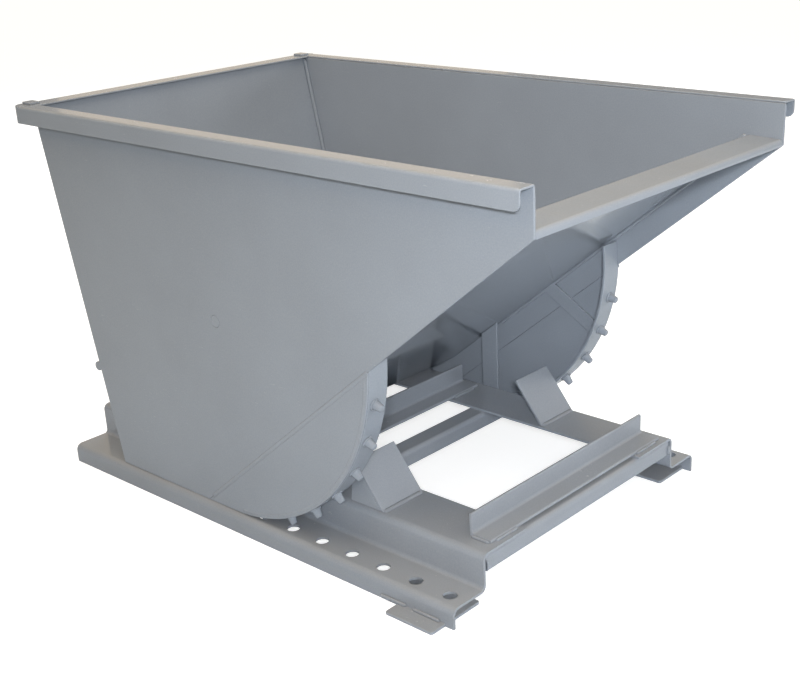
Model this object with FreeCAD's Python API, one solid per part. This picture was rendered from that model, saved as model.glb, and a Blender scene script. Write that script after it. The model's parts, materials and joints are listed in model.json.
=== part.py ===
import FreeCAD, Part

import math
import os

# Self-dumping hopper. Working frame: X forward (dump side), Y across, Z up, with X = 0 above
# the line where the rockers touch the rails when the hopper stands upright.
# All lengths are millimetres. save() moves every piece so that the origin of the finished
# part lies on the floor, under the middle of its box.

V = FreeCAD.Vector

# ---- driving dimensions ----------------------------------------------------------------
SHEET = 5.0                 # thickness of the bin sheets and the formed rails
BAR = 6.0                   # thickness of flat bars and angles
REAR_SHEET = 6.0            # thickness of the rear sheet
ROCKER_R = 400.0            # rolling radius of the rockers
ROLL_GAP = 0.4              # clearance kept between rocker and rail
HALF_WIDTH = 379.0          # outer face of a side sheet from the middle plane

RAIL_REAR = -535.0
RAIL_FRONT = 585.0
RAIL_TOP = 110.0            # top of the inner flange
SHELF_TOP = 40.6            # top of the outer shelf on which the rocker rolls
FLANGE_EDGE = 184.0         # inner edge of the flange
WEB_FACE = 306.0            # outer face of the web
LIP_FACE = 390.0            # outer face of the lip that stands on the floor
LIP_BEND = 14.0             # outer radius of the bend from shelf to lip
RAIL_BEND = 13.0            # outer radius of the two other bends of a rail
SOFT_BEND = 9.0             # outer radius of the channel bends

PIN_PITCH = 80.3            # rocker pins and rail holes, measured on the rolling line
PIN_FIRST = 68.0
PIN_COUNT = 7
PIN_LINE = 357.0            # distance of the pin line from the middle plane
PIN_R = 9.5
PIN_TIP_R = 6.5
PIN_TALL = 19.0
HOLE_R = 13.0

REAR_TOP_X = -525.6         # outer face of the rear sheet at the rim
REAR_LEAN = math.radians(11.84)
FRONT_X = 759.0             # front edge of the side sheets and the lip
EDGE_SLOPE = math.radians(39.07)
EDGE_FRONT_Z = 722.0        # lower front corner of the side sheets
CHUTE_INSET = 65.0          # height of the chute's underside above the sheets' lower edge
LIP_BACK_X = 689.0          # bend from the chute to the lip
LIP_TOP_Z = 736.0
LIP_DROP = 3.0
HEM_BOTTOM_Z = 720.0
PAN_Z = 113.0               # underside of the flat bottom, just above the rails

RIM_TOP = 803.0
RIM_T = 4.0
RIM_OUT = 412.0             # outer face of a side rim
RIM_IN = 376.0              # inner edge of a side rim
RIM_LEG = 35.0
RIM_CORNER_R = 25.0         # rounded rear corners of the rim
RIM_NOSE_R = 14.0           # rounded lower front corner of a rim's leg
RIM_REAR = -551.0
BACK_RIM_W = 45.0

STRIP_T = 6.0               # rocker strip
STRIP_IN = 328.0            # inner edge of a rocker strip

ANGLE_FLAT = 50.0           # cross angles on top of the rails
ANGLE_TALL = 45.0
ANGLE_RIGHT = -267.0        # ends of the cross angles
ANGLE_LEFT = 278.0
ANGLE_BACKS = (521.0, 38.0, -517.0)
CHANNEL_W = 50.0            # cross channels under the flanges
CHANNEL_DEEP = 33.0
CHANNEL_BACKS = (533.0, 138.0, -530.0)

STOP_FOOT_X = 339.0         # sloping stop plates on the rails
STOP_HEAD_X = 269.5
STOP_HEAD_Z = 198.0
STOP_IN = 190.0
STOP_OUT = 298.0

PAD_REAR = 455.0            # floor plates through the front feet of the rails
PAD_FRONT = 566.0
PAD_OUT = 426.0
PAD_IN = 296.0
PAD_INNER_REAR = 400.0      # the part under the shelf reaches further back

STRIKER_R = 10.0            # round bar across the back that the latch holds
STRIKER_Z = 250.0
STRIKER_STAND = 17.0        # distance of its centre from the rear sheet
STRIKER_HALF = 374.0
LUG_PLACES = (-340.0, -120.0, 114.0, 334.0)
LUG_REACH = 14.0
LATCH_X = -497.0            # latch pivot
LATCH_Z = 190.0
LATCH_PIN_R = 8.0
LATCH_FIT = 0.05            # radial clearance on the pivot pin
LATCH_OPEN = math.radians(22.0)
POST_Y = 20.0               # inner faces of the latch posts from the middle plane
HOOK_HALF = 5.0             # half thickness of the hook plate
BUSH_R = 12.0
PIN_HEAD_R = 13.0
PIN_HEAD_T = 6.0
WASHER_R = 14.0
WASHER_T = 2.5
SPLIT_WIRE_R = 1.5
SPLIT_OUT = 7.0             # split pin from the outer face of the post
HANDLE_LONG = 85.0
HANDLE_LEAN = math.radians(15.0)
HANDLE_R = 7.0              # pull rod
EYE_R = 15.0                # centre line of the pull rod's eye
EYE_WIRE_R = 5.0

PLUG_R = 12.0               # plugs in the centre holes of the rockers
PLUG_FIT = 0.05

TO_ORIGIN = V(-(FRONT_X + RIM_REAR) / 2.0, 0.0, 0.0)

CENTRE_Z = SHELF_TOP + ROLL_GAP + ROCKER_R
BOTTOM_Z = CENTRE_Z - ROCKER_R
SIDES = (("right", -1), ("left", 1))

BRACE_BACK = 55.0           # upright angle between strip and chute
BRACE_REACH = 45.0
BRACE_IN = STRIP_IN + 7.0
WELD_GAP = 0.4
DIAGONAL_HEAD = V(222.0, 0, 352.0)
DIAGONAL_FOOT = V(343.0, 0, 280.0)
DIAGONAL_HALF = 16.5
CORNER_PAD_T = 4.5          # pads on the rear corners of the rim
CORNER_PAD_LONG = 28.0
CORNER_PAD_W = 24.0


# ---- drawing helpers -------------------------------------------------------------------
def rounded_face(points, radii, to_space):
    """A flat face through 2-D points, each corner rounded by its own radius."""
    count = len(points)
    edges = []
    ends = []
    for i, (point, radius) in enumerate(zip(points, radii)):
        here = V(point[0], point[1], 0)
        back = V(*points[i - 1], 0) - here
        ahead = V(*points[(i + 1) % count], 0) - here
        back.normalize()
        ahead.normalize()
        if radius <= 0:
            ends.append((here, here, None))
            continue
        half = back.getAngle(ahead) / 2.0
        reach = radius / math.tan(half)
        middle = back + ahead
        middle.normalize()
        centre = here + middle * (radius / math.sin(half))
        ends.append((here + back * reach, here + ahead * reach, centre - middle * radius))
    for i, (start, end, crown) in enumerate(ends):
        if crown is not None:
            edges.append(Part.Arc(to_space(start), to_space(crown), to_space(end)).toShape())
        following = ends[(i + 1) % count][0]
        if end.distanceToPoint(following) > 1e-6:
            edges.append(Part.LineSegment(to_space(end), to_space(following)).toShape())
    return Part.Face(Part.Wire(edges))


def across(points, low, high, radii=None):
    """A prism along Y from a profile of (x, z) points."""
    radii = radii or [0] * len(points)
    face = rounded_face(points, radii, lambda p: V(p.x, low, p.y))
    return face.extrude(V(0, high - low, 0))


def along(points, rear, front, radii=None):
    """A prism along X from a profile of (y, z) points."""
    radii = radii or [0] * len(points)
    face = rounded_face(points, radii, lambda p: V(rear, p.x, p.y))
    return face.extrude(V(front - rear, 0, 0))


def band(path, thick, inner_radii):
    """Profile of a bent sheet: the path is one face, the other lies on its right."""
    normals = []
    for (ax, ay), (bx, by) in zip(path, path[1:]):
        length = math.hypot(bx - ax, by - ay)
        normals.append(((by - ay) / length, -(bx - ax) / length))
    other = []
    for i, (x, y) in enumerate(path):
        first = normals[max(i - 1, 0)]
        second = normals[min(i, len(normals) - 1)]
        grow = thick / (1.0 + first[0] * second[0] + first[1] * second[1])
        other.append((x + (first[0] + second[0]) * grow, y + (first[1] + second[1]) * grow))
    path_radii = []
    other_radii = []
    for i in range(len(path)):
        if i in (0, len(path) - 1):
            path_radii.append(0)
            other_radii.append(0)
            continue
        first = normals[i - 1]
        second = normals[i]
        turns_right = first[0] * second[1] - first[1] * second[0] < 0
        inner = inner_radii[i - 1]
        path_radii.append(inner + thick if turns_right else inner)
        other_radii.append(inner if turns_right else inner + thick)
    return path + other[::-1], path_radii + other_radii[::-1]


def box(low, high):
    return Part.makeBox(high[0] - low[0], high[1] - low[1], high[2] - low[2], V(*low))


def span(side, inner, outer):
    """Low and high Y of something between two distances from the middle plane."""
    return tuple(sorted((side * inner, side * outer)))


def mirrored(shape):
    return shape.mirror(V(0, 0, 0), V(0, 1, 0))


def rod(radius, low, high, x, z):
    """A cylinder along Y."""
    return Part.makeCylinder(radius, high - low, V(x, low, z), V(0, 1, 0))


def save(name, shape):
    shape = shape.copy()
    shape.translate(TO_ORIGIN)
    if not shape.isValid():
        raise RuntimeError(name + " is not valid")
    shape.exportStep("parts/" + name + ".step")


def rear_face_x(z):
    """X of the rear sheet's outer face."""
    return REAR_TOP_X + (RIM_TOP - z) * math.tan(REAR_LEAN)


def edge_z(x):
    """Height of the side sheets' lower front edge."""
    return EDGE_FRONT_Z - (FRONT_X - x) * math.tan(EDGE_SLOPE)


def edge_x(z):
    return FRONT_X - (EDGE_FRONT_Z - z) / math.tan(EDGE_SLOPE)


def chute_under_z(x):
    return edge_z(x) + CHUTE_INSET


def rocker_point(angle, radius=ROCKER_R):
    """Point of a rocker; the angle is counted forward from straight down."""
    return (radius * math.sin(angle), CENTRE_Z - radius * math.cos(angle))


# ---- base ------------------------------------------------------------------------------
def rail():
    path = [
        (FLANGE_EDGE, RAIL_TOP),
        (WEB_FACE, RAIL_TOP),
        (WEB_FACE, SHELF_TOP),
        (LIP_FACE, SHELF_TOP),
        (LIP_FACE, 0.0),
    ]
    bends = [RAIL_BEND - SHEET, RAIL_BEND - SHEET, LIP_BEND - SHEET]
    points, radii = band(path, SHEET, bends)
    body = along(points, RAIL_REAR, RAIL_FRONT, radii)
    for i in range(PIN_COUNT):
        x = PIN_FIRST + i * PIN_PITCH
        hole = Part.makeCylinder(HOLE_R, 2 * SHEET, V(x, PIN_LINE, SHELF_TOP - 1.5 * SHEET))
        body = body.cut(hole)
    return body.cut(foot_pad())


def cross_angle(back):
    """Angle iron lying on the flanges: one leg flat and forward, one leg up at the back."""
    points = [
        (back, RAIL_TOP),
        (back + ANGLE_FLAT, RAIL_TOP),
        (back + ANGLE_FLAT, RAIL_TOP + BAR),
        (back + BAR, RAIL_TOP + BAR),
        (back + BAR, RAIL_TOP + ANGLE_TALL),
        (back, RAIL_TOP + ANGLE_TALL),
    ]
    toe = BAR / 2.0
    return across(points, ANGLE_RIGHT, ANGLE_LEFT, [1.0, 0, toe, BAR, toe, 0])


def cross_channel(back):
    """Formed channel, open downwards, between the webs and under the flanges."""
    top = RAIL_TOP - SHEET
    path = [
        (back, top - CHANNEL_DEEP),
        (back, top),
        (back + CHANNEL_W, top),
        (back + CHANNEL_W, top - CHANNEL_DEEP),
    ]
    inside = SOFT_BEND - SHEET
    points, radii = band(path, SHEET, [inside, inside])
    half = WEB_FACE - 2 * SHEET
    channel = across(points, -half, half, radii)
    return channel.cut(rail()).cut(mirrored(rail()))


def stop_plate(side):
    rise = STOP_HEAD_Z - RAIL_TOP
    run = STOP_FOOT_X - STOP_HEAD_X
    foot = BAR * math.hypot(rise, run) / rise
    lean = BAR / math.hypot(rise, run)
    points = [
        (STOP_FOOT_X, RAIL_TOP),
        (STOP_HEAD_X, STOP_HEAD_Z),
        (STOP_HEAD_X - rise * lean, STOP_HEAD_Z - run * lean),
        (STOP_FOOT_X - foot, RAIL_TOP),
    ]
    return across(points, *span(side, STOP_IN, STOP_OUT))


def stop_rib(side):
    """Upright rib behind a stop plate, at its outer edge."""
    rise = STOP_HEAD_Z - RAIL_TOP
    run = STOP_FOOT_X - STOP_HEAD_X
    lean = BAR / math.hypot(rise, run)
    foot = BAR * math.hypot(rise, run) / rise
    points = [
        (STOP_FOOT_X - foot, RAIL_TOP),
        (STOP_HEAD_X - rise * lean, STOP_HEAD_Z - run * lean),
        (STOP_HEAD_X - rise * lean - 12.0, RAIL_TOP),
    ]
    return across(points, *span(side, STOP_OUT - BAR, STOP_OUT))


def foot_pad():
    """Floor plate of the left rail, wider under the shelf; it passes through a notch in the lip."""
    step = LIP_FACE - SHEET
    points = [
        (PAD_INNER_REAR, PAD_IN),
        (PAD_FRONT, PAD_IN),
        (PAD_FRONT, PAD_OUT),
        (PAD_REAR, PAD_OUT),
        (PAD_REAR, step),
        (PAD_INNER_REAR, step),
    ]
    face = rounded_face(points, [5.0, 5.0, 5.0, 5.0, 0, 0], lambda p: V(p.x, p.y, 0.0))
    return face.extrude(V(0, 0, BAR))


# ---- latch -----------------------------------------------------------------------------
POST_FOOT = RAIL_TOP + BAR
POST_REAR = ANGLE_BACKS[2] + 2 * BAR
POST_FRONT = ANGLE_BACKS[2] + ANGLE_FLAT - 4.0
STRIKER_X = rear_face_x(STRIKER_Z) - STRIKER_STAND / math.cos(REAR_LEAN)


def latch_post(side):
    """Upright plate on the rear cross angle that carries the latch pin."""
    points = [
        (POST_REAR, POST_FOOT),
        (POST_FRONT, POST_FOOT),
        (LATCH_X + 18.0, LATCH_Z + 18.0),
        (LATCH_X - 14.0, LATCH_Z + 18.0),
    ]
    plate = across(points, *span(side, POST_Y, POST_Y + BAR), [0, 0, 14.0, 12.0])
    return plate.cut(rod(LATCH_PIN_R + LATCH_FIT, -2 * POST_Y, 2 * POST_Y, LATCH_X, LATCH_Z))


def latch_pin():
    """Pivot pin with a round head on one side and a washer and split pin on the other."""
    outside = POST_Y + BAR
    head_end = -outside - PIN_HEAD_T
    shank = rod(LATCH_PIN_R, -outside, outside + 12.0, LATCH_X, LATCH_Z)
    head = rod(PIN_HEAD_R, head_end, -outside, LATCH_X, LATCH_Z)
    rim = [e for e in head.Edges if abs(e.CenterOfMass.y - head_end) < 1e-6 and e.Closed]
    pin = shank.fuse(head.makeFillet(2.5, rim))
    split = Part.makeCylinder(SPLIT_WIRE_R + 0.1, 60.0, V(LATCH_X, outside + SPLIT_OUT, LATCH_Z - 30.0))
    return pin.cut(split).removeSplitter()


def latch_washer():
    outside = POST_Y + BAR
    ring = rod(WASHER_R, outside, outside + WASHER_T, LATCH_X, LATCH_Z)
    return ring.cut(rod(LATCH_PIN_R + 0.3, outside, outside + WASHER_T, LATCH_X, LATCH_Z))


def latch_split_pin():
    y = POST_Y + BAR + SPLIT_OUT
    leg = Part.makeCylinder(SPLIT_WIRE_R, 24.0, V(LATCH_X, y, LATCH_Z - 12.0))
    eye = Part.makeTorus(4.0, SPLIT_WIRE_R, V(LATCH_X, y, LATCH_Z + 15.5), V(1, 0, 0))
    return leg.fuse(eye).removeSplitter()


def swung(shape, angle):
    """Turn a latch piece about the pivot; positive leans it back, away from the bin."""
    turned = shape.copy()
    turned.rotate(V(LATCH_X, 0, LATCH_Z), V(0, 1, 0), -math.degrees(angle))
    return turned


def latch_hook():
    """Hook plate drawn closed over the striker bar, then swung open."""
    catch = STRIKER_R + 2.5
    nose_x = rear_face_x(STRIKER_Z + catch) - 3.0
    points = [
        (LATCH_X - 15.0, LATCH_Z - 15.0),
        (LATCH_X + 15.0, LATCH_Z - 15.0),
        (LATCH_X + 21.0, LATCH_Z + 12.0),
        (STRIKER_X - catch, STRIKER_Z - 12.0),
        (STRIKER_X - catch, STRIKER_Z + catch),
        (nose_x - 6.0, STRIKER_Z + catch),
        (nose_x - 8.0, STRIKER_Z + catch + 16.0),
        (STRIKER_X - catch - 8.0, STRIKER_Z + catch + 26.0),
        (LATCH_X - 15.0, LATCH_Z + 40.0),
    ]
    radii = [14.0, 14.0, 8.0, 4.0, 6.0, 2.0, 3.0, 16.0, 16.0]
    plate = across(points, -HOOK_HALF, HOOK_HALF, radii)
    eye = rod(LATCH_PIN_R + LATCH_FIT, -HOOK_HALF, HOOK_HALF, LATCH_X, LATCH_Z)
    return swung(plate.cut(eye), LATCH_OPEN)


def latch_bush(side):
    """Spacer tube on the pin between the hook and a post."""
    low, high = span(side, HOOK_HALF + 0.3, POST_Y)
    tube = rod(BUSH_R, low, high, LATCH_X, LATCH_Z)
    return tube.cut(rod(LATCH_PIN_R + LATCH_FIT, low, high, LATCH_X, LATCH_Z))


def latch_handle():
    """Pull rod with an eye, standing on the hook plate."""
    foot = V(LATCH_X + 2.0, 0, LATCH_Z + 52.0)
    way = V(math.sin(HANDLE_LEAN), 0, math.cos(HANDLE_LEAN))
    pull_rod = Part.makeCylinder(HANDLE_R, HANDLE_LONG, foot, way)
    eye_middle = foot + way * (HANDLE_LONG + EYE_R - 2.0)
    eye = Part.makeTorus(EYE_R, EYE_WIRE_R, eye_middle, V(0, 1, 0))
    handle = pull_rod.fuse(eye).removeSplitter()
    return swung(handle, LATCH_OPEN).cut(latch_hook())


# ---- hopper ----------------------------------------------------------------------------
def side_sheet(side):
    """Upper side sheet down to the seam that carries on the line of its front edge."""
    top = RIM_TOP - RIM_T
    points = [
        (rear_face_x(top), top),
        (FRONT_X, top),
        (FRONT_X, EDGE_FRONT_Z),
        (edge_x(BOTTOM_Z), BOTTOM_Z),
        (rear_face_x(BOTTOM_Z), BOTTOM_Z),
    ]
    sheet = across(points, *span(side, HALF_WIDTH - SHEET, HALF_WIDTH))
    return sheet.cut(rod(PLUG_R, -HALF_WIDTH, HALF_WIDTH, 0.0, CENTRE_Z))


def rocker_meets(line_z, radius):
    """Angle of the rocker at which a circle about its centre rises to a sloping line."""
    low = math.radians(45.0)
    high = math.radians(120.0)
    for _ in range(50):
        middle = (low + high) / 2.0
        x, z = rocker_point(middle, radius)
        if z < line_z(x):
            low = middle
        else:
            high = middle
    return low


def arc_edge(start, end, radius, y):
    ends = [rocker_point(a, radius) for a in (start, (start + end) / 2.0, end)]
    return Part.Arc(*[V(x, y, z) for x, z in ends]).toShape()


def line_edge(a, b, y):
    return Part.LineSegment(V(a[0], y, a[1]), V(b[0], y, b[1])).toShape()


def rocker_plate(side):
    """Lower side plate: a rocker arc with a short flat, welded to the side sheet."""
    low, high = span(side, HALF_WIDTH - SHEET, HALF_WIDTH)
    top = rocker_meets(edge_z, ROCKER_R)
    seam_foot = (edge_x(BOTTOM_Z), BOTTOM_Z)
    edges = [
        arc_edge(0.0, top, ROCKER_R, low),
        line_edge(rocker_point(top), seam_foot, low),
        line_edge(seam_foot, rocker_point(0.0), low),
    ]
    return Part.Face(Part.Wire(edges)).extrude(V(0, high - low, 0))


def rocker_strip(side):
    """Rolling flange inside the side plate: flat at the back, then round the rocker's arc."""
    low, high = span(side, STRIP_IN, HALF_WIDTH - SHEET)
    inner = ROCKER_R - STRIP_T
    top = rocker_meets(chute_under_z, inner) - math.radians(1.0)
    rear = rear_face_x(BOTTOM_Z) + SHEET
    edges = [
        line_edge((rear, BOTTOM_Z), rocker_point(0.0), low),
        arc_edge(0.0, top, ROCKER_R, low),
        line_edge(rocker_point(top), rocker_point(top, inner), low),
        arc_edge(0.0, top, inner, low),
        line_edge(rocker_point(0.0, inner), (rear, BOTTOM_Z + STRIP_T), low),
        line_edge((rear, BOTTOM_Z + STRIP_T), (rear, BOTTOM_Z), low),
    ]
    return Part.Face(Part.Wire(Part.__sortEdges__(edges))).extrude(V(0, high - low, 0))


def rocker_pins(side):
    """Round-nosed drive pins standing out of the rocker strip."""
    pins = []
    sunk = 0.5
    rocker = rod(ROCKER_R, -HALF_WIDTH, HALF_WIDTH, 0.0, CENTRE_Z)
    for i in range(PIN_COUNT):
        angle = (PIN_FIRST + i * PIN_PITCH) / (ROCKER_R + ROLL_GAP)
        x, z = rocker_point(angle, ROCKER_R - sunk)
        out = V(math.sin(angle), 0, -math.cos(angle))
        pin = Part.makeCone(PIN_R, PIN_TIP_R, PIN_TALL + sunk, V(x, side * PIN_LINE, z), out)
        rim = [e for e in pin.Edges if e.Closed and e.Length < 2.1 * math.pi * PIN_TIP_R]
        pins.append(pin.makeFillet(3.5, rim).cut(rocker))
    return Part.makeCompound(pins)


def floor_sheet():
    """Flat bottom, chute, lip and hem, bent from one sheet. The path is its upper face."""
    bottom_top = PAN_Z + SHEET
    rise = SHEET / math.cos(EDGE_SLOPE)
    slope = math.tan(EDGE_SLOPE)
    back_x = rear_face_x(bottom_top) + REAR_SHEET / math.cos(REAR_LEAN)
    bend_x = FRONT_X - (EDGE_FRONT_Z + CHUTE_INSET + rise - bottom_top) / slope
    lip_x = FRONT_X - (EDGE_FRONT_Z + CHUTE_INSET + rise - LIP_TOP_Z) / slope
    path = [
        (back_x, bottom_top),
        (bend_x, bottom_top),
        (lip_x, LIP_TOP_Z),
        (FRONT_X, LIP_TOP_Z - LIP_DROP),
        (FRONT_X, HEM_BOTTOM_Z),
    ]
    points, radii = band(path, SHEET, [20.0, 4.0, 4.0])
    half = HALF_WIDTH - SHEET
    return across(points, -half, half, radii).cut(rear_sheet())


def rear_sheet():
    top = RIM_TOP - RIM_T
    through = REAR_SHEET / math.cos(REAR_LEAN)
    points = [
        (rear_face_x(top), top),
        (rear_face_x(top) + through, top),
        (rear_face_x(PAN_Z) + through, PAN_Z),
        (rear_face_x(PAN_Z), PAN_Z),
    ]
    half = HALF_WIDTH - SHEET
    return across(points, -half, half)


def side_rim(side):
    """Rim rail: flat top and an outer leg, open at both ends."""
    low_z = RIM_TOP - RIM_LEG
    path = [(RIM_IN, RIM_TOP), (RIM_OUT, RIM_TOP), (RIM_OUT, low_z)]
    points, radii = band(path, RIM_T, [2.0])
    rim = along(points, RIM_REAR + RIM_CORNER_R, FRONT_X, radii)
    inner = RIM_OUT - RIM_T
    corner_x = FRONT_X - RIM_NOSE_R
    corner_z = low_z + RIM_NOSE_R
    corner = box((corner_x, inner, low_z), (FRONT_X, RIM_OUT, corner_z))
    rim = rim.cut(corner.cut(rod(RIM_NOSE_R, inner, RIM_OUT, corner_x, corner_z)))
    return mirrored(rim) if side < 0 else rim


def back_rim():
    path = [(RIM_REAR, RIM_TOP - RIM_LEG), (RIM_REAR, RIM_TOP), (RIM_REAR + BACK_RIM_W, RIM_TOP)]
    points, radii = band(path, RIM_T, [2.0])
    return across(points, -RIM_IN, RIM_IN, radii)


def corner_outline(inset, z):
    """Plan of a rounded rear corner of the rim, set in from its outer faces."""
    front = RIM_REAR + RIM_CORNER_R
    rear = RIM_REAR + inset
    outer = RIM_OUT - inset
    points = [(front, RIM_IN), (front, outer), (rear, outer), (rear, RIM_IN)]
    return rounded_face(points, [0, 0, RIM_CORNER_R - inset, 0], lambda p: V(p.x, p.y, z))


def rim_corner(side):
    """Rounded corner that joins a side rim to the back rim."""
    low_z = RIM_TOP - RIM_LEG
    block = corner_outline(0.0, low_z).extrude(V(0, 0, RIM_LEG))
    hollow = corner_outline(RIM_T, low_z).extrude(V(0, 0, RIM_LEG - RIM_T))
    corner = block.cut(hollow)
    return mirrored(corner) if side < 0 else corner


def corner_pad(side):
    """Raised pad on top of the rim, where the back rim meets a corner piece."""
    low, high = span(side, RIM_IN - CORNER_PAD_W / 2.0, RIM_IN + CORNER_PAD_W / 2.0)
    top = RIM_TOP + CORNER_PAD_T
    pad = box((RIM_REAR + 6.0, low, RIM_TOP), (RIM_REAR + 6.0 + CORNER_PAD_LONG, high, top))
    crown = [e for e in pad.Edges if abs(e.CenterOfMass.z - top) < 1e-6]
    return pad.makeFillet(1.5, crown)


def brace_angle(side):
    """Upright angle between the rocker strip and the chute."""
    bend = BRACE_BACK + SHEET
    leg_y = BRACE_IN + SHEET
    legs = []
    for x0, x1, outer in ((BRACE_BACK, bend, HALF_WIDTH - SHEET), (bend, BRACE_BACK + BRACE_REACH, leg_y)):
        points = []
        for x in (x0, x1):
            points.append((x, CENTRE_Z - math.sqrt((ROCKER_R - STRIP_T) ** 2 - x ** 2) + WELD_GAP))
        for x in (x1, x0):
            points.append((x, chute_under_z(x) - WELD_GAP))
        legs.append(across(points, *span(side, BRACE_IN, outer)))
    return legs[0].fuse(legs[1]).removeSplitter()


def diagonal_brace(side):
    """Flat bar on the inside of the side plate, from the chute to the rocker strip."""
    way = DIAGONAL_FOOT - DIAGONAL_HEAD
    way.normalize()
    wide = V(-way.z, 0, way.x) * DIAGONAL_HALF
    low, high = span(side, HALF_WIDTH - SHEET - BAR, HALF_WIDTH - SHEET)
    start = DIAGONAL_HEAD - way * 60.0
    end = DIAGONAL_FOOT + way * 60.0
    corners = [start + wide, end + wide, end - wide, start - wide]
    bar = across([(p.x, p.z) for p in corners], low, high)
    inside = rod(ROCKER_R - STRIP_T, low, high, 0.0, CENTRE_Z)
    under = [(-ROCKER_R, -ROCKER_R), (-ROCKER_R, chute_under_z(-ROCKER_R))]
    under += [(ROCKER_R, chute_under_z(ROCKER_R)), (ROCKER_R, -ROCKER_R)]
    return bar.common(inside).common(across(under, low, high))


def striker_bar():
    return rod(STRIKER_R, -STRIKER_HALF, STRIKER_HALF, STRIKER_X, STRIKER_Z)


def striker_lugs():
    """Four small plates that hold the striker bar off the rear sheet."""
    lugs = []
    low_z = STRIKER_Z - LUG_REACH
    high_z = STRIKER_Z + LUG_REACH
    points = [
        (STRIKER_X - LUG_REACH, low_z),
        (rear_face_x(low_z), low_z),
        (rear_face_x(high_z), high_z),
        (STRIKER_X - LUG_REACH, high_z),
    ]
    corner = LUG_REACH / 2.0
    for place in LUG_PLACES:
        lug = across(points, place, place + BAR, [corner, 0, 0, corner])
        lugs.append(lug.cut(striker_bar()))
    return Part.makeCompound(lugs)


def centre_plug(side):
    """Flush round plug in the hole on the rocker's centre line."""
    low, high = span(side, HALF_WIDTH - SHEET, HALF_WIDTH)
    return rod(PLUG_R - PLUG_FIT, low, high, 0.0, CENTRE_Z)


# ---- output ----------------------------------------------------------------------------
def main():
    os.makedirs("parts", exist_ok=True)
    save("rail_left", rail())
    save("rail_right", mirrored(rail()))
    save("foot_pad_left", foot_pad())
    save("foot_pad_right", mirrored(foot_pad()))
    for name, back in zip(("front_angle", "middle_angle", "rear_angle"), ANGLE_BACKS):
        save(name, cross_angle(back))
    for name, back in zip(("front_channel", "middle_channel", "rear_channel"), CHANNEL_BACKS):
        save(name, cross_channel(back))
    for name, side in SIDES:
        save("stop_plate_" + name, stop_plate(side))
        save("stop_rib_" + name, stop_rib(side))
        save("latch_post_" + name, latch_post(side))
        save("latch_bush_" + name, latch_bush(side))
        save("side_sheet_" + name, side_sheet(side))
        save("rocker_plate_" + name, rocker_plate(side))
        save("rocker_strip_" + name, rocker_strip(side))
        save("rocker_pins_" + name, rocker_pins(side))
        save("side_rim_" + name, side_rim(side))
        save("rim_corner_" + name, rim_corner(side))
        save("corner_pad_" + name, corner_pad(side))
        save("brace_angle_" + name, brace_angle(side))
        save("diagonal_brace_" + name, diagonal_brace(side))
        save("centre_plug_" + name, centre_plug(side))
    save("latch_pin", latch_pin())
    save("latch_washer", latch_washer())
    save("latch_split_pin", latch_split_pin())
    save("latch_hook", latch_hook())
    save("latch_handle", latch_handle())
    save("floor_sheet", floor_sheet())
    save("rear_sheet", rear_sheet())
    save("back_rim", back_rim())
    save("striker_bar", striker_bar())
    save("striker_lugs", striker_lugs())


main()
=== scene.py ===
import bmesh
import bpy
import json
import math
import random

from mathutils import Matrix, Vector, noise


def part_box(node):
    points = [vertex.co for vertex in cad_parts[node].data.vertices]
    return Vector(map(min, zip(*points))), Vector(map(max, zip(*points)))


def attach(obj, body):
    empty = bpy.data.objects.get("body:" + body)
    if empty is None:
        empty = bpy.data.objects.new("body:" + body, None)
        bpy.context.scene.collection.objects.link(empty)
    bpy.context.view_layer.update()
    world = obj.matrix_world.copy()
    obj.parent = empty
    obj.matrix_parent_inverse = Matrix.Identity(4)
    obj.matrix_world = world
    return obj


# Looks for the self-dumping hopper: gloss enamel over welded steel, weld beads along the
# joints, softened edges, a pale floor and studio light. Metres, in the part's own frame:
# X towards the chute lip, Y to its left, Z up.

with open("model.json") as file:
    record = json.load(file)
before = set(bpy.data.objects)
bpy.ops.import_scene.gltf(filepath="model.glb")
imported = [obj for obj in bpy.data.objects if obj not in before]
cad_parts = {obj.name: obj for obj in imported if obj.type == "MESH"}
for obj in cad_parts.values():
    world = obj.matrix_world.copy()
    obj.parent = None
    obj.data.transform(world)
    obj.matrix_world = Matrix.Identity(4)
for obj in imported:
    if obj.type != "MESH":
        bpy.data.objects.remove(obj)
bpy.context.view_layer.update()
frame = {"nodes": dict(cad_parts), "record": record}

rng = random.Random(7)
SIDES = (("right", -1.0), ("left", 1.0))


# ---- sizes read from the frame -----------------------------------------------------------
def low(node, axis):
    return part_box(node)[0][axis]


def high(node, axis):
    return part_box(node)[1][axis]


SHEET_OUT = high("side_sheet_left", 1)          # outer face of a side sheet
SHEET_IN = low("side_sheet_left", 1)            # its inner face
CHUTE_FRONT = high("side_sheet_left", 0)
RIM_TOP = high("side_rim_left", 2)
RIM_T = 0.004                                    # rim angle's thickness
PLUG_LOW, PLUG_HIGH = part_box("centre_plug_left")
ROLL_X = (PLUG_LOW[0] + PLUG_HIGH[0]) / 2.0      # rocker centre
ROLL_Z = (PLUG_LOW[2] + PLUG_HIGH[2]) / 2.0
ROLL_FOOT = low("rocker_plate_left", 2)
ROLL_R = ROLL_Z - ROLL_FOOT
RAIL_TOP = high("rail_left", 2)
FLANGE_IN = low("rail_left", 1)
FLOOR_Z = 0.0


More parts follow.
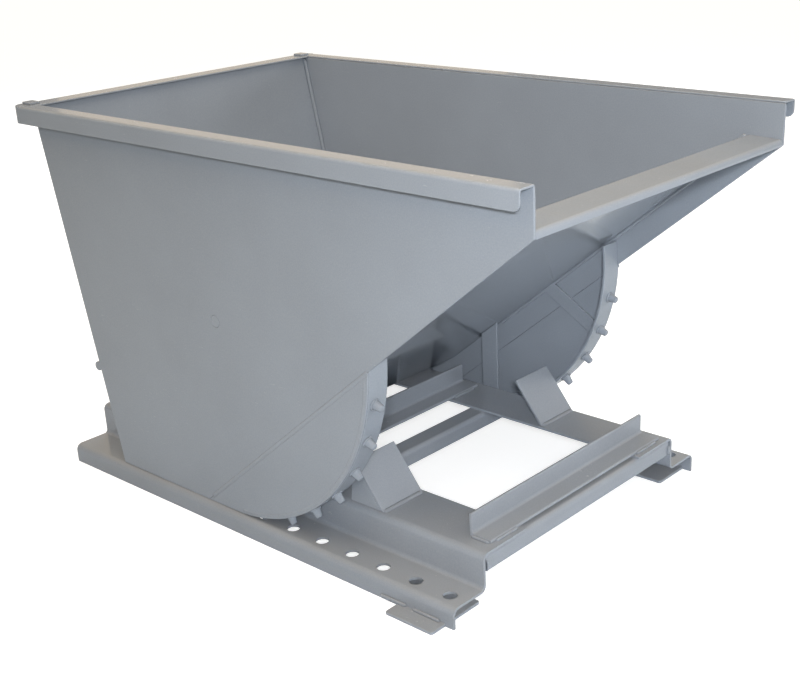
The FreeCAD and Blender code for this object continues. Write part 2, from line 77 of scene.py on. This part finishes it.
# ---- materials ---------------------------------------------------------------------------
class Nodes:
    """A small helper for building a node tree from left to right."""

    def __init__(self, material):
        material.use_nodes = True
        self.tree = material.node_tree
        self.tree.nodes.clear()

    def add(self, kind, values=None, **settings):
        node = self.tree.nodes.new(kind)
        for key, value in settings.items():
            setattr(node, key, value)
        for key, value in (values or {}).items():
            if isinstance(value, bpy.types.NodeSocket):
                self.tree.links.new(value, node.inputs[key])
            else:
                node.inputs[key].default_value = value
        return node

    def math(self, operation, a, b=0.0, clamp=False):
        node = self.add("ShaderNodeMath", {0: a, 1: b}, operation=operation, use_clamp=clamp)
        return node.outputs[0]

    def noise(self, where, scale, detail=2.0, rough=0.5):
        values = {"Vector": where, "Scale": scale, "Detail": detail, "Roughness": rough}
        return self.add("ShaderNodeTexNoise", values).outputs["Fac"]

    def ramp(self, fac, low_at, high_at, low_to=0.0, high_to=1.0):
        values = {"Value": fac, "From Min": low_at, "From Max": high_at}
        values.update({"To Min": low_to, "To Max": high_to})
        return self.add("ShaderNodeMapRange", values, clamp=True).outputs["Result"]

    def mix(self, fac, a, b, blend="MIX"):
        node = self.add("ShaderNodeMix", data_type="RGBA", blend_type=blend)
        for index, value in ((0, fac), (6, a), (7, b)):
            if isinstance(value, bpy.types.NodeSocket):
                self.tree.links.new(value, node.inputs[index])
            else:
                node.inputs[index].default_value = value
        return node.outputs[2]

    def bump(self, height, distance, strength=1.0, normal=None):
        values = {"Height": height, "Distance": distance, "Strength": strength}
        if normal is not None:
            values["Normal"] = normal
        return self.add("ShaderNodeBump", values).outputs["Normal"]


def grey(value):
    return (value, value, value, 1.0)


def enamel(name, paint, wear=0.35, wave=1.0):
    """Sprayed gloss enamel: orange peel, slight sheet waviness, dust mixed with a painted warm overhead
    light on upward faces, scuffs, a painted highlight along every edge, and worn edges.
    """
    material = bpy.data.materials.new(name)
    n = Nodes(material)
    where = n.add("ShaderNodeTexCoord").outputs["Object"]
    surface = n.add("ShaderNodeNewGeometry")
    # Colour: broad spray banding, fine mottle, then dust together with a painted warm overhead light on
    # faces that look up.
    broad = n.noise(where, 4.0, 3.0, 0.55)
    cloudy = n.noise(where, 26.0, 4.0, 0.6)
    fine = n.noise(where, 420.0, 2.0, 0.6)
    dark = tuple(c * 0.94 for c in paint[:3]) + (1.0,)
    pale = tuple(min(1.0, c * 1.05) for c in paint[:3]) + (1.0,)
    colour = n.mix(n.ramp(broad, 0.30, 0.70), dark, pale)
    colour = n.mix(n.ramp(cloudy, 0.35, 0.75, 0.0, 0.30), colour, paint)
    colour = n.mix(n.ramp(fine, 0.35, 0.70, 0.0, 0.10), colour, (0.62, 0.63, 0.64, 1.0))
    upward = n.add("ShaderNodeSeparateXYZ", {0: surface.outputs["Normal"]}).outputs["Z"]
    # Painted warm light: faces that look up are tinted beige for the warm overhead light, together with
    # a little dust.
    dust_and_warm_light = n.math("MULTIPLY", n.ramp(upward, 0.60, 0.98), n.ramp(cloudy, 0.30, 0.70, 0.16, 0.24))
    colour = n.mix(dust_and_warm_light, colour, (0.400, 0.372, 0.325, 1.0))
    # Scuffs: long thin marks stretched along the travel of loads and forks.
    values = {"Vector": where, "Scale": (9.0, 14.0, 120.0)}
    stretched = n.add("ShaderNodeMapping", values).outputs[0]
    streak = n.noise(stretched, 5.0, 3.0, 0.7)
    patches = n.noise(where, 9.0, 2.0, 0.5)
    scuff = n.math("MULTIPLY", n.ramp(streak, 0.66, 0.74), n.ramp(patches, 0.52, 0.66))
    colour = n.mix(n.math("MULTIPLY", scuff, 0.14), colour, grey(0.62))
    # Edges: the rounded normal differs from the flat one only close to an edge.
    rounded = n.add("ShaderNodeBevel", {"Radius": 0.0022}, samples=4).outputs["Normal"]
    normals = {0: rounded, 1: surface.outputs["Normal"]}
    turn = n.add("ShaderNodeVectorMath", normals, operation="DOT_PRODUCT")
    near_edge = n.ramp(turn.outputs["Value"], 0.99, 0.80)
    chipped = n.math("MULTIPLY", near_edge, n.ramp(n.noise(where, 90.0, 4.0, 0.7), 0.50, 0.62))
    # Painted highlight: a pale grey line is mixed in along every edge for light caught on the bends;
    # the chipped darkening below is real wear.
    colour = n.mix(n.math("MULTIPLY", near_edge, 0.22), colour, (0.50, 0.51, 0.52, 1.0))
    colour = n.mix(n.math("MULTIPLY", chipped, wear), colour, (0.235, 0.215, 0.200, 1.0))
    # Gloss breaks up with dust, scuffs and the spray's own variation.
    rough = n.ramp(broad, 0.25, 0.75, 0.19, 0.23)
    rough = n.math("ADD", rough, n.ramp(fine, 0.30, 0.80, -0.02, 0.05))
    rough = n.math("ADD", rough, n.math("MULTIPLY", dust_and_warm_light, 0.06))
    rough = n.math("ADD", rough, n.math("MULTIPLY", scuff, 0.18), clamp=True)
    # Relief: sheet waviness, orange peel, grit in the paint.
    peel = n.noise(where, 260.0, 2.0, 0.5)
    grit = n.noise(where, 900.0, 1.0, 0.5)
    ripple = n.noise(where, 5.5, 1.0, 0.4)
    normal = n.bump(ripple, 0.0022 * wave, 0.55)
    normal = n.bump(cloudy, 0.0003, 0.35, normal)
    normal = n.bump(peel, 0.00016, 0.55, normal)
    normal = n.bump(n.math("ADD", grit, n.math("MULTIPLY", scuff, -1.2)), 0.00005, 0.5, normal)
    shader = n.add(
        "ShaderNodeBsdfPrincipled",
        {"Base Color": colour, "Roughness": rough, "Normal": normal, "IOR": 1.5},
    )
    shader.inputs["Coat Weight"].default_value = 0.55
    shader.inputs["Coat Roughness"].default_value = 0.07
    n.add("ShaderNodeOutputMaterial", {"Surface": shader.outputs[0]})
    return material


def zinc_plate(name):
    """Dull zinc-plated steel with a faint spangle and drawn lines."""
    material = bpy.data.materials.new(name)
    n = Nodes(material)
    where = n.add("ShaderNodeTexCoord").outputs["Object"]
    spangle = n.noise(where, 160.0, 3.0, 0.6)
    drawn = n.add("ShaderNodeMapping", {"Vector": where, "Scale": (1.0, 40.0, 1.0)}).outputs[0]
    lines = n.noise(drawn, 60.0, 3.0, 0.6)
    colour = n.mix(n.ramp(spangle, 0.30, 0.75), (0.36, 0.36, 0.345, 1.0), (0.60, 0.59, 0.56, 1.0))
    dull = n.ramp(spangle, 0.3, 0.7, 0.30, 0.46)
    rough = n.math("ADD", dull, n.ramp(lines, 0.3, 0.7, -0.04, 0.06))
    normal = n.bump(lines, 0.00008, 0.5)
    normal = n.bump(spangle, 0.00006, 0.4, normal)
    values = {"Base Color": colour, "Roughness": rough, "Normal": normal}
    shader = n.add("ShaderNodeBsdfPrincipled", values)
    shader.inputs["Metallic"].default_value = 1.0
    n.add("ShaderNodeOutputMaterial", {"Surface": shader.outputs[0]})
    return material


BIN_PAINT = (0.290, 0.324, 0.372, 1.0)
FRAME_PAINT = (0.290, 0.318, 0.360, 1.0)
bin_enamel = enamel("bin_enamel_gloss", BIN_PAINT)
frame_enamel = enamel("frame_enamel_gloss", FRAME_PAINT, wear=0.55, wave=0.6)
zinc = zinc_plate("zinc_plated")
FINISH = {"bin_enamel": bin_enamel, "frame_enamel": frame_enamel, "zinc": zinc}


# ---- softened edges on the CAD pieces ----------------------------------------------------
def soften(node, width):
    weld = node.modifiers.new("join", "WELD")
    weld.merge_threshold = 0.00002
    plain = node.modifiers.new("whole_faces", "DECIMATE")
    plain.decimate_type = "DISSOLVE"
    plain.angle_limit = math.radians(0.25)
    bevel = node.modifiers.new("soft_edges", "BEVEL")
    bevel.width = width
    bevel.segments = 2
    bevel.limit_method = "ANGLE"
    bevel.angle_limit = math.radians(40.0)
    bevel.use_clamp_overlap = True
    bevel.harden_normals = False
    smooth = node.modifiers.new("even_normals", "WEIGHTED_NORMAL")
    smooth.keep_sharp = False
    smooth.weight = 100


NO_SOFTENING = {"latch_split_pin", "latch_washer", "latch_handle"}
slots = {entry["node"]: entry["material_slot"] for entry in frame["record"]["subparts"]}
for name, node in frame["nodes"].items():
    finish = FINISH[slots[name]]
    if not node.data.materials:
        node.data.materials.append(finish)
    for slot_index in range(len(node.data.materials)):
        node.data.materials[slot_index] = finish
    for polygon in node.data.polygons:
        polygon.use_smooth = True
    if name not in NO_SOFTENING:
        soften(node, 0.0009 if name.startswith(("latch", "striker", "corner")) else 0.0013)


# ---- weld beads --------------------------------------------------------------------------
def run(a, b):
    return [Vector(a), Vector(b)]


def resample(points, step):
    """Points along a polyline at an even spacing close to step."""
    lengths = [(q - p).length for p, q in zip(points, points[1:])]
    total = sum(lengths)
    count = max(2, round(total / step))
    out = []
    segment = 0
    passed = 0.0
    for i in range(count + 1):
        at = total * i / count
        while segment < len(lengths) - 1 and at > passed + lengths[segment]:
            passed += lengths[segment]
            segment += 1
        share = min(1.0, max(0.0, (at - passed) / lengths[segment]))
        out.append(points[segment].lerp(points[segment + 1], share))
    return out


def tube_faces(rings, around):
    """Faces of a closed tube: rings of around points each, and a cap at each end."""
    faces = []
    for i in range(rings - 1):
        for k in range(around):
            a = i * around + k
            b = i * around + (k + 1) % around
            faces.append((a, b, b + around, a + around))
    faces.append(tuple(range(around))[::-1])
    last = (rings - 1) * around
    faces.append(tuple(range(last, last + around)))
    return faces


def bead(name, body, slot, path, leg_a, leg_b, size=0.0048, step=0.0013, ripple=0.0042):
    """A fillet weld along path between two faces.

    leg_a and leg_b point along the faces, away from the corner.
    """
    points = resample(path, step)
    seed = rng.uniform(0.0, 50.0)
    across = 6
    total = sum((q - p).length for p, q in zip(points, points[1:]))
    sink = 0.0006
    verts = []
    at = 0.0
    for i, point in enumerate(points):
        if i:
            at += (point - points[i - 1]).length
        u = leg_a(i, point) if callable(leg_a) else Vector(leg_a)
        v = leg_b(i, point) if callable(leg_b) else Vector(leg_b)
        phase = (at / ripple + 0.6 * noise.noise(Vector((seed, at * 90.0, 0.0)))) % 1.0
        wobble = noise.noise(Vector((at * 45.0, seed, 1.7)))
        scale = size * (1.0 + 0.10 * wobble + 0.07 * math.sin(math.pi * phase))
        end = min(1.0, (min(at, total - at) + 0.0008) / 0.004)
        scale *= math.sqrt(max(0.05, end))
        shift = noise.noise(Vector((seed * 1.3, at * 60.0, 5.0))) * 0.12
        for k in range(across + 1):
            t = k / across
            crown = 0.5 + 0.30 * math.sin(math.pi * t)
            a = (1.0 - t) + shift * math.sin(math.pi * t)
            b = t - shift * math.sin(math.pi * t)
            lift = (u + v) * (scale * (crown - 0.5) * (1.0 + 0.35 * math.sin(math.pi * phase)))
            verts.append(point + u * (scale * a) + v * (scale * b) + lift)
        verts.append(point - (u + v) * sink)
    return mesh_piece(name, body, slot, verts, tube_faces(len(points), across + 2))


def mesh_piece(name, body, slot, verts, faces):
    mesh = bpy.data.meshes.new(name)
    mesh.from_pydata([tuple(v) for v in verts], [], faces)
    mesh.validate()
    piece = bpy.data.objects.new(name, mesh)
    bpy.context.scene.collection.objects.link(piece)
    fix_normals(mesh)
    for polygon in mesh.polygons:
        polygon.use_smooth = True
    mesh.materials.append(FINISH[slot])
    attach(piece, body)
    return piece


def fix_normals(mesh):
    work = bmesh.new()
    work.from_mesh(mesh)
    bmesh.ops.recalc_face_normals(work, faces=work.faces)
    work.to_mesh(mesh)
    work.free()


# ---- lines of the welded steelwork, in the frame's metres ---------------------------------
EDGE_SLOPE = math.radians(39.07)                # lower front edge of the side sheets
FLOOR_T = 0.005
CHUTE_DROP = FLOOR_T / math.cos(EDGE_SLOPE)      # chute sheet's thickness, measured upright
CHUTE_ABOVE_EDGE = 0.065 + CHUTE_DROP            # chute's top above the side sheets' lower edge
REAR_LEAN = math.radians(11.84)
REAR_T = 0.006
PAN_TOP = low("floor_sheet", 2) + FLOOR_T
EDGE_FRONT_Z = low("floor_sheet", 2) + 0.609     # that lower edge at the front of the chute
LIP_BACK_X = high("floor_sheet", 0) - 0.070      # where the chute turns into its lip
REAR_TOP = (low("rear_sheet", 0), high("rear_sheet", 2))
STRIP_T = 0.006
PINS = 7
PIN_R = 0.0093                                   # radius of the weld round a pin's root
PIN_LINE = 0.357
PIN_PITCH = 0.0803
FIRST_PIN = 0.068                                # along the rail, from the rolling contact
ROLL_GAP = 0.0004                                # between rocker and shelf


def rear_x(z):
    """Outer face of the rear sheet."""
    return REAR_TOP[0] + (REAR_TOP[1] - z) * math.tan(REAR_LEAN)


def rear_in_x(z):
    return rear_x(z) + REAR_T / math.cos(REAR_LEAN)


def edge_z(x):
    return EDGE_FRONT_Z - (CHUTE_FRONT - x) * math.tan(EDGE_SLOPE)


def chute_top_z(x):
    return edge_z(x) + CHUTE_ABOVE_EDGE


def chute_top_x(z):
    return CHUTE_FRONT - (EDGE_FRONT_Z + CHUTE_ABOVE_EDGE - z) / math.tan(EDGE_SLOPE)


def edge_x(z):
    return CHUTE_FRONT - (EDGE_FRONT_Z - z) / math.tan(EDGE_SLOPE)


def rocker(angle, radius):
    return (ROLL_X + radius * math.sin(angle), ROLL_Z - radius * math.cos(angle))


def arc(first, last, radius, y, count=60):
    points = []
    for i in range(count + 1):
        x, z = rocker(first + (last - first) * i / count, radius)
        points.append(Vector((x, y, z)))
    return points


def arc_meets(line_z, radius):
    """Angle at which the rocker's arc of that radius rises to the sloping line line_z(x)."""
    first = math.radians(45.0)
    last = math.radians(120.0)
    for _ in range(40):
        middle = (first + last) / 2.0
        x, z = rocker(middle, radius)
        if z < line_z(x):
            first = middle
        else:
            last = middle
    return first


def chute_under_z(x):
    return chute_top_z(x) - CHUTE_DROP


def strip_top():
    """Angle at which the weld on the rocker strip stops, just short of the chute."""
    return arc_meets(chute_under_z, ROLL_R - STRIP_T) - math.radians(2.0)


def plate_top():
    """Angle at which the rocker plate ends at the side sheet's lower edge."""
    return arc_meets(edge_z, ROLL_R)


UP = Vector((0.0, 0.0, 1.0))
FORE = Vector((1.0, 0.0, 0.0))
DOWN_REAR = Vector((math.sin(REAR_LEAN), 0.0, -math.cos(REAR_LEAN)))
OFF_REAR = Vector((math.cos(REAR_LEAN), 0.0, math.sin(REAR_LEAN)))
OFF_CHUTE = Vector((-math.sin(EDGE_SLOPE), 0.0, math.cos(EDGE_SLOPE)))
BIN = ("hopper", "bin_enamel")
BASE = ("base", "frame_enamel")


def towards_centre(_, point):
    return Vector((ROLL_X - point.x, 0.0, ROLL_Z - point.z)).normalized()


def stitched(name, owner, a, b, leg_a, leg_b, size, count, share=0.45):
    """Short welds spread evenly along a joint."""
    a = Vector(a)
    b = Vector(b)
    for i in range(count):
        middle = (i + 0.5) / count
        half = share / count / 2.0
        ends = [a.lerp(b, middle - half), a.lerp(b, middle + half)]
        bead("%s_%d" % (name, i + 1), *owner, ends, leg_a, leg_b, size)


def bin_welds(side_name, side):
    """Inside the bin: rear corner, bottom seam, chute seam; then under the chute and the strip."""
    inward = Vector((0.0, -side, 0.0))
    y_in = side * SHEET_IN
    z = high("rear_sheet", 2) - 0.004
    top = Vector((rear_in_x(z), y_in, z))
    foot = Vector((rear_in_x(PAN_TOP + 0.004), y_in, PAN_TOP + 0.004))
    bead("weld_rear_corner_" + side_name, *BIN, [top, foot], inward, OFF_REAR, size=0.0066)
    a = Vector((rear_in_x(PAN_TOP) + 0.006, y_in, PAN_TOP))
    b = Vector((chute_top_x(PAN_TOP) - 0.006, y_in, PAN_TOP))
    bead("weld_floor_" + side_name, *BIN, [a, b], inward, UP, size=0.0055)
    a = Vector((chute_top_x(PAN_TOP + 0.006), y_in, PAN_TOP + 0.006))
    b = Vector((LIP_BACK_X - 0.004, y_in, chute_top_z(LIP_BACK_X - 0.004)))
    bead("weld_chute_" + side_name, *BIN, [a, b], inward, OFF_CHUTE, size=0.0058)

    # Under the chute, between its underside and the side sheet.
    x0 = edge_x(low("floor_sheet", 2)) + 0.075
    x1 = CHUTE_FRONT - 0.105
    a = Vector((x0, y_in, chute_top_z(x0) - CHUTE_DROP))
    b = Vector((x1, y_in, chute_top_z(x1) - CHUTE_DROP))
    bead("weld_under_chute_" + side_name, *BIN, [a, b], inward, -OFF_CHUTE, size=0.005)

    # Inside of the rocker: strip to side plate.
    top_angle = strip_top()
    path = arc(math.radians(2.0), top_angle, ROLL_R - STRIP_T, y_in)
    bead("weld_strip_" + side_name, *BIN, path, inward, towards_centre, size=0.0052)


def pin_rings(side_name, side):
    """Rounded ring at the root of every pin."""
    pin_y = side * PIN_LINE
    for i in range(PINS):
        angle = (FIRST_PIN + PIN_PITCH * i) / (ROLL_R + ROLL_GAP)
        x, z = rocker(angle, ROLL_R)
        out = Vector((math.sin(angle), 0.0, -math.cos(angle)))
        along_arc = Vector((math.cos(angle), 0.0, math.sin(angle)))
        middle = Vector((x, pin_y, z))
        ring = []
        for k in range(49):
            t = 2.0 * math.pi * k / 48.0
            spoke = along_arc * math.cos(t) + Vector((0, 1, 0)) * math.sin(t)
            ring.append(middle + spoke * PIN_R)
        bead(
            "weld_pin_%s_%d" % (side_name, i + 1), *BIN, ring,
            lambda _, p, m=middle: (p - m).normalized(), out,
            size=0.0026, step=0.0012, ripple=0.0035,
        )


def seam(name, owner, path, normal, wide=0.0045, tall=0.0005, step=0.0016):
    """A flat butt weld, dressed almost flush, that stands a little off a face."""
    points = resample(path, step)
    normal = Vector(normal)
    seed = rng.uniform(0.0, 50.0)
    columns = 6
    sunk = 0.0006
    verts = []
    for i, point in enumerate(points):
        ahead = (points[min(i + 1, len(points) - 1)] - points[max(i - 1, 0)]).normalized()
        sideways = ahead.cross(normal)
        at = i * step
        half = wide * (1.0 + 0.12 * noise.noise(Vector((seed, at * 40.0, 0.0))))
        rise = tall * (1.0 + 0.35 * noise.noise(Vector((at * 70.0, seed, 3.0))))
        for k in range(columns + 1):
            t = 2.0 * k / columns - 1.0
            verts.append(point + sideways * (half * t) + normal * (rise * (1.0 - t * t) - 0.00005))
        verts.append(point + sideways * (0.8 * half) - normal * sunk)
        verts.append(point - sideways * (0.8 * half) - normal * sunk)
    return mesh_piece(name, *owner, verts, tube_faces(len(points), columns + 3))


def plate_seams(side_name, side):
    """Dressed seams where the rocker plate joins the side sheet and the strip."""
    outward = Vector((0.0, side, 0.0))
    y_out = side * SHEET_OUT
    foot_z = ROLL_FOOT + 0.012
    top_x, _ = rocker(plate_top() - math.radians(1.5), ROLL_R)
    a = Vector((edge_x(foot_z), y_out, foot_z))
    b = Vector((top_x, y_out, edge_z(top_x)))
    seam("seam_plate_" + side_name, BIN, [a, b], outward)
    path = arc(math.radians(4.0), plate_top() - math.radians(3.0), ROLL_R - 0.0075, y_out)
    seam("seam_arc_" + side_name, BIN, path, outward, wide=0.0030, tall=0.00035)


def rear_foot_weld():
    """Foot of the rear sheet inside the bin."""
    a = Vector((rear_in_x(PAN_TOP), -SHEET_IN + 0.007, PAN_TOP))
    b = Vector((rear_in_x(PAN_TOP), SHEET_IN - 0.007, PAN_TOP))
    bead("weld_rear_foot", *BIN, [a, b], -DOWN_REAR, FORE, size=0.0055)


def angle_welds(name):
    """A cross angle on the rail flanges: its ends, its back and its toe."""
    (x0, y0, _), (x1, y1, _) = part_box(name)
    for side_name, side in SIDES:
        reach = y1 if side > 0.0 else -y0
        ends = [(x0 + 0.006, side * reach, RAIL_TOP), (x1 - 0.004, side * reach, RAIL_TOP)]
        bead("weld_%s_end_%s" % (name, side_name), *BASE, run(*ends), (0.0, side, 0.0), UP, size=0.0046)
        back = [(x0, side * y, RAIL_TOP) for y in (FLANGE_IN + 0.006, reach - 0.006)]
        bead("weld_%s_back_%s" % (name, side_name), *BASE, run(*back), -FORE, UP, size=0.0046)
        toe = [(x1, side * y, RAIL_TOP) for y in (FLANGE_IN + 0.010, reach - 0.014)]
        bead("weld_%s_toe_%s" % (name, side_name), *BASE, run(*toe), FORE, UP, size=0.0042)


def channel_welds(name):
    """A cross channel's ends, up the rail webs."""
    (x0, _, z0), (x1, y1, z1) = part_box(name)
    for side_name, side in SIDES:
        end_y = side * y1
        for end, face, way in (("rear", x0, -1.0), ("front", x1, 1.0)):
            up_web = [(face, end_y, z0 + 0.002), (face, end_y, z1 - 0.012)]
            bead(
                "weld_%s_%s_%s" % (name, end, side_name), *BASE, run(*up_web),
                (way, 0.0, 0.0), (0.0, -side, 0.0), size=0.0045,
            )


def rail_welds(side_name, side):
    """Stop plate, latch post and floor plate on one rail."""
    (x0, y0, z0), (x1, y1, z1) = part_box("stop_plate_" + side_name)
    y_low, y_high = sorted((abs(y0), abs(y1)))
    lean = Vector((x0 + 0.005 - x1, 0.0, z1 - z0)).normalized()
    ends = [(x1, side * (y_low + 0.003), z0), (x1, side * (y_high - 0.003), z0)]
    bead("weld_stop_front_" + side_name, *BASE, run(*ends), FORE, lean, size=0.0050)
    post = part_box("latch_post_" + side_name)
    outer = max(abs(post[0][1]), abs(post[1][1]))
    ends = [(x, side * outer, post[0][2]) for x in (post[0][0] + 0.004, post[1][0] - 0.003)]
    bead("weld_post_" + side_name, *BASE, run(*ends), (0.0, side, 0.0), UP, size=0.0038)
    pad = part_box("foot_pad_" + side_name)
    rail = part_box("rail_" + side_name)
    face = max(abs(rail[0][1]), abs(rail[1][1]))
    a, b = [(x, side * face, pad[1][2]) for x in (pad[0][0] + 0.004, pad[1][0] - 0.004)]
    stitched(
        "weld_pad_" + side_name, BASE, a, b, (0.0, side, 0.0), UP,
        size=0.0044, count=2, share=0.8,
    )


def rim_welds(side_name, side):
    """Stitch welds that hold a rim to its side sheet, under the rim's top."""
    z = RIM_TOP - RIM_T
    a = (rear_x(z) + 0.030, side * SHEET_OUT, z)
    b = (CHUTE_FRONT - 0.030, side * SHEET_OUT, z)
    stitched(
        "weld_rim_" + side_name, BIN, a, b, (0.0, side, 0.0), -UP,
        size=0.0044, count=7, share=0.35,
    )


# Every bead and seam draws one random number, so their order matters.
for side_name, side in SIDES:
    bin_welds(side_name, side)
    pin_rings(side_name, side)
for side_name, side in SIDES:
    plate_seams(side_name, side)
rear_foot_weld()
for name in ("front_angle", "middle_angle", "rear_angle"):
    angle_welds(name)
for name in ("front_channel", "middle_channel", "rear_channel"):
    channel_welds(name)
for side_name, side in SIDES:
    rail_welds(side_name, side)
for side_name, side in SIDES:
    rim_welds(side_name, side)


# ---- floor, light and camera --------------------------------------------------------------
def stage_floor():
    mesh = bpy.data.meshes.new("studio_floor")
    half = 30.0
    corners = [(x * half, y * half, FLOOR_Z) for x, y in ((-1, -1), (1, -1), (1, 1), (-1, 1))]
    mesh.from_pydata(corners, [], [(0, 1, 2, 3)])
    floor = bpy.data.objects.new("studio_floor", mesh)
    bpy.context.scene.collection.objects.link(floor)
    material = bpy.data.materials.new("studio_floor_pale")
    n = Nodes(material)
    ray = n.add("ShaderNodeLightPath")
    glow = n.add("ShaderNodeEmission", {"Color": grey(1.0), "Strength": 0.78})
    paper = n.add("ShaderNodeBsdfDiffuse", {"Color": grey(0.55)})
    seen = n.add("ShaderNodeAddShader", {0: glow.outputs[0], 1: paper.outputs[0]})
    bounce = n.add("ShaderNodeBsdfDiffuse", {"Color": (0.60, 0.66, 0.73, 1.0)})
    values = {0: ray.outputs["Is Camera Ray"], 1: bounce.outputs[0], 2: seen.outputs[0]}
    both = n.add("ShaderNodeMixShader", values)
    n.add("ShaderNodeOutputMaterial", {"Surface": both.outputs[0]})
    mesh.materials.append(material)


def softbox(name, place, target, size, power, colour, spread=math.pi, mirrored=False):
    """An area light; only a mirrored one shows in the paint's reflections."""
    data = bpy.data.lights.new(name, "AREA")
    data.shape = "RECTANGLE"
    data.size, data.size_y = size
    data.energy = power
    data.color = colour
    data.spread = spread
    lamp = bpy.data.objects.new(name, data)
    lamp.location = place
    way = Vector(target) - Vector(place)
    lamp.rotation_euler = way.to_track_quat("-Z", "Y").to_euler()
    lamp.visible_glossy = mirrored
    bpy.context.scene.collection.objects.link(lamp)


def studio_world():
    world = bpy.data.worlds.new("studio")
    bpy.context.scene.world = world
    n = Nodes(world)
    ray = n.add("ShaderNodeLightPath")
    way = n.add("ShaderNodeTexCoord").outputs["Generated"]
    up = n.add("ShaderNodeSeparateXYZ", {0: way}).outputs["Z"]
    wall = n.mix(n.ramp(up, -0.05, 0.25), (0.30, 0.33, 0.37, 1.0), (0.42, 0.43, 0.45, 1.0))
    sky = n.mix(n.ramp(up, 0.20, 0.75), wall, (0.92, 0.80, 0.62, 1.0))
    light = n.add("ShaderNodeBackground", {"Color": sky, "Strength": 0.60})
    seen = n.add("ShaderNodeBackground", {"Color": grey(1.0), "Strength": 1.0})
    values = {0: ray.outputs["Is Camera Ray"], 1: light.outputs[0], 2: seen.outputs[0]}
    both = n.add("ShaderNodeMixShader", values)
    n.add("ShaderNodeOutputWorld", {"Surface": both.outputs[0]})


def photo_camera():
    """Camera on the chute's right, looking down and back, with a slight hand-held roll."""
    place = Vector((1.7509, -1.8055, 1.2368))
    azimuth = math.radians(42.19)
    elevation = math.radians(21.46)
    roll = math.radians(-2.3)
    flat = math.cos(elevation)
    ahead = Vector((-math.sin(azimuth) * flat, math.cos(azimuth) * flat, -math.sin(elevation)))
    right = Vector((math.cos(azimuth), math.sin(azimuth), 0.0))
    up = right.cross(ahead)
    right_rolled = right * math.cos(roll) + up * math.sin(roll)
    up_rolled = up * math.cos(roll) - right * math.sin(roll)
    data = bpy.data.cameras.new("camera")
    data.lens = 58.08
    data.sensor_width = 36.0
    data.sensor_fit = "HORIZONTAL"
    data.shift_x = -0.0470
    data.shift_y = 0.0276
    data.clip_start = 0.05
    data.clip_end = 200.0
    camera = bpy.data.objects.new("camera", data)
    turn = Matrix((right_rolled, up_rolled, -ahead)).transposed()
    camera.matrix_world = Matrix.Translation(place) @ turn.to_4x4()
    bpy.context.scene.collection.objects.link(camera)
    bpy.context.scene.camera = camera


stage_floor()
studio_world()
softbox(
    "overhead", (0.45, -0.6, 3.9), target=(0.0, 0.1, 0.3), size=(4.0, 2.6),
    power=60.0, colour=(1.0, 0.90, 0.78), mirrored=True,
)
softbox(
    "warm_side", (-0.9, -3.2, 3.4), target=(0.0, 0.0, 0.4), size=(0.7, 0.5),
    power=10.0, colour=(1.0, 0.68, 0.36),
)
softbox(
    "warm_rear", (-3.4, 2.8, 1.9), target=(0.0, 0.0, 0.6), size=(2.4, 1.8),
    power=6.0, colour=(1.0, 0.80, 0.55), mirrored=True,
)
softbox(
    "flash", (2.20, -2.25, 1.60), target=(0.42, 0.05, 0.45), size=(0.28, 0.20),
    power=9.5, colour=(0.93, 0.96, 1.0), spread=math.radians(66.0),
)
softbox(
    "fill_front", (2.30, -0.10, 0.55), target=(0.1, 0.35, 0.30), size=(0.5, 0.35),
    power=6.0, colour=(0.90, 0.95, 1.0),
)
softbox(
    "fill_rear", (-3.6, 3.2, 2.4), target=(0.0, 0.0, 0.4), size=(2.4, 1.8),
    power=95.0, colour=(0.95, 0.97, 1.0),
)
softbox(
    "fill_left", (2.6, 4.2, 1.6), target=(0.0, 0.0, 0.4), size=(2.2, 1.6),
    power=70.0, colour=(1.0, 0.97, 0.93),
)
photo_camera()

view = bpy.context.scene.view_settings
view.view_transform = "Standard"
view.look = "None"
view.exposure = 0.0
view.gamma = 1.0
